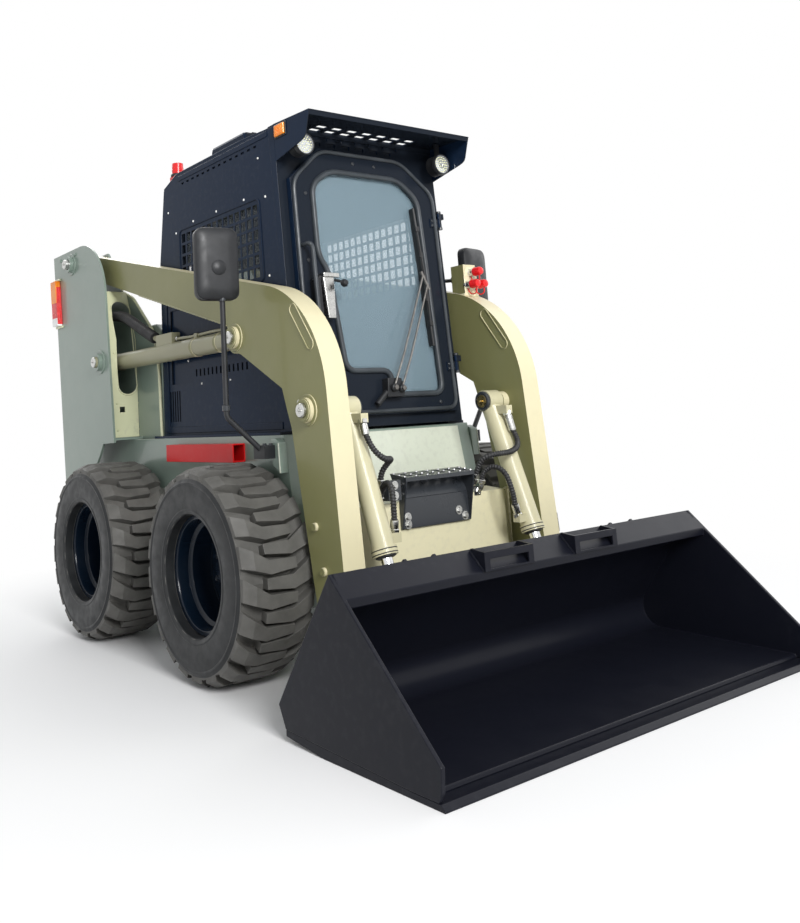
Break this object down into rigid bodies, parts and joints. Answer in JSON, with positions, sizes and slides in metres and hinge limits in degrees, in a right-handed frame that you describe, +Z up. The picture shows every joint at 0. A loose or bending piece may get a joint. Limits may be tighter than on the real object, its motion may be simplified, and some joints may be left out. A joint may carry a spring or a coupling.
{
  "type": "skid steer loader",
  "caption": "Compact wheeled loader with an enclosed cab, lift arms on rear towers, hydraulic cylinders and a wide bucket.",
  "frame": {"origin": "on the ground, under the middle of the machine's box", "axes": "+Z up, -Y towards the bucket, +X to the driver's left"},
  "size_m": [1.8, 3.437, 2.285],
  "materials": {
    "amber_plastic": "amber",
    "arm_paint": "sand paint",
    "black_plastic": "matte",
    "body_paint": "sage green paint",
    "bucket_paint": "satin black paint",
    "cab_paint": "navy black gloss paint",
    "chrome_rod": "polished",
    "cover_paint": "pale yellow green paint",
    "engine_iron": "cast",
    "exhaust_steel": "brushed",
    "hose_rubber": "black rubber",
    "lamp_lens": "clear lens",
    "red_plastic": "red",
    "rim_paint": "dark blue black gloss paint",
    "seat_cover": "black vinyl",
    "tyre_rubber": "ribbed rubber",
    "window_glass": "tinted pane"
  },
  "bodies": {
    "machine": {"axle_tubes": "body_paint", "beacon": "red_plastic", "brace_tube": "red_plastic", "cab_floor": "cab_paint", "cab_front_frame": "cab_paint", "cab_rear": "cab_paint", "cab_roof": "cab_paint", "cab_side_left": "cab_paint", "cab_side_right": "cab_paint", "cab_sill": "cab_paint", "cab_visor": "cab_paint", "cab_windows": "window_glass", "chassis": "body_paint", "control_levers": "black_plastic", "engine_block": "engine_iron", "engine_hood": "body_paint", "exhaust": "exhaust_steel", "front_panel": "body_paint", "marker_lamps": "amber_plastic", "mirror_left": "black_plastic", "mirror_right": "black_plastic", "roof_box": "cab_paint", "seat": "seat_cover", "tail_lamps": "red_plastic", "tow_eye": "engine_iron", "tower_cover_left": "cover_paint", "tower_cover_right": "cover_paint", "tower_left": "body_paint", "tower_right": "body_paint", "work_lights": "lamp_lens"},
    "front_door": {"front_door": "cab_paint", "door_glass": "window_glass", "door_fittings": "exhaust_steel"},
    "rear_door": {"rear_door": "body_paint"},
    "lift_arms": {"arm_left": "arm_paint", "arm_right": "arm_paint", "cross_member": "arm_paint", "step": "cab_paint", "coupler_block": "arm_paint", "pivot_pins": "exhaust_steel", "tilt_hoses": "hose_rubber"},
    "lift_barrels": {"lift_barrels": "arm_paint", "lift_hoses": "hose_rubber"},
    "lift_rods": {"lift_rods": "chrome_rod"},
    "tilt_barrels": {"tilt_barrels": "arm_paint"},
    "tilt_rods": {"tilt_rods": "chrome_rod"},
    "bucket": {"coupler": "bucket_paint", "bucket": "bucket_paint", "cutting_edge": "bucket_paint", "lip_brackets": "bucket_paint"},
    "wheel_front_left": {"tyre_front_left": "tyre_rubber", "rim_front_left": "rim_paint"},
    "wheel_front_right": {"tyre_front_right": "tyre_rubber", "rim_front_right": "rim_paint"},
    "wheel_rear_left": {"tyre_rear_left": "tyre_rubber", "rim_rear_left": "rim_paint"},
    "wheel_rear_right": {"tyre_rear_right": "tyre_rubber", "rim_rear_right": "rim_paint"}
  },
  "joints": [
    {"name": "front_left_wheel", "type": "hinge", "parent": "machine", "child": "wheel_front_left", "pos_m": [0.675, -0.3, 0.402], "axis": [1, 0, 0], "continuous": true},
    {"name": "front_right_wheel", "type": "hinge", "parent": "machine", "child": "wheel_front_right", "pos_m": [-0.675, -0.3, 0.402], "axis": [1, 0, 0], "continuous": true},
    {"name": "rear_left_wheel", "type": "hinge", "parent": "machine", "child": "wheel_rear_left", "pos_m": [0.675, 0.8, 0.402], "axis": [1, 0, 0], "continuous": true},
    {"name": "rear_right_wheel", "type": "hinge", "parent": "machine", "child": "wheel_rear_right", "pos_m": [-0.675, 0.8, 0.402], "axis": [1, 0, 0], "continuous": true},
    {"name": "lift", "type": "hinge", "parent": "machine", "child": "lift_arms", "pos_m": [0, 1.432, 1.89], "axis": [-1, 0, 0], "range_deg": [0, 61]},
    {"name": "lift_barrel", "type": "hinge", "parent": "machine", "child": "lift_barrels", "pos_m": [0, 1.041, 1.309], "axis": [-1, 0, 0], "range_deg": [-1, 67]},
    {"name": "lift_rod", "type": "slide", "parent": "lift_barrels", "child": "lift_rods", "axis": [0, -1, 0.0008], "range_m": [-0.01, 0.73]},
    {"name": "tilt", "type": "hinge", "parent": "lift_arms", "child": "bucket", "pos_m": [0, -0.835, 0.175], "axis": [-1, 0, 0], "range_deg": [-100, 27]},
    {"name": "tilt_barrel", "type": "hinge", "parent": "lift_arms", "child": "tilt_barrels", "pos_m": [0, -0.742, 0.994], "axis": [-1, 0, 0], "range_deg": [-8, 6]},
    {"name": "tilt_rod", "type": "slide", "parent": "tilt_barrels", "child": "tilt_rods", "axis": [0, -0.3242, -0.946], "range_m": [-0.09, 0.3]},
    {"name": "front_door", "type": "hinge", "parent": "machine", "child": "front_door", "pos_m": [0.418, -0.50996, 1.45], "axis": [0, 0.0599, 0.9982], "range_deg": [0, 58]},
    {"name": "rear_door", "type": "hinge", "parent": "machine", "child": "rear_door", "pos_m": [-0.434, 1.57278, 1.06], "axis": [0, 0.1252, 0.9921], "range_deg": [0, 92]}
  ],
  "couplings": [
    {"joint": "lift_barrel", "follows": "lift", "ratio": 1.0544},
    {"joint": "lift_rod", "follows": "lift", "m_per_rad": 0.6614},
    {"joint": "tilt_barrel", "follows": "tilt", "ratio": 0.0435},
    {"joint": "tilt_rod", "follows": "tilt", "m_per_rad": -0.1532}
  ]
}
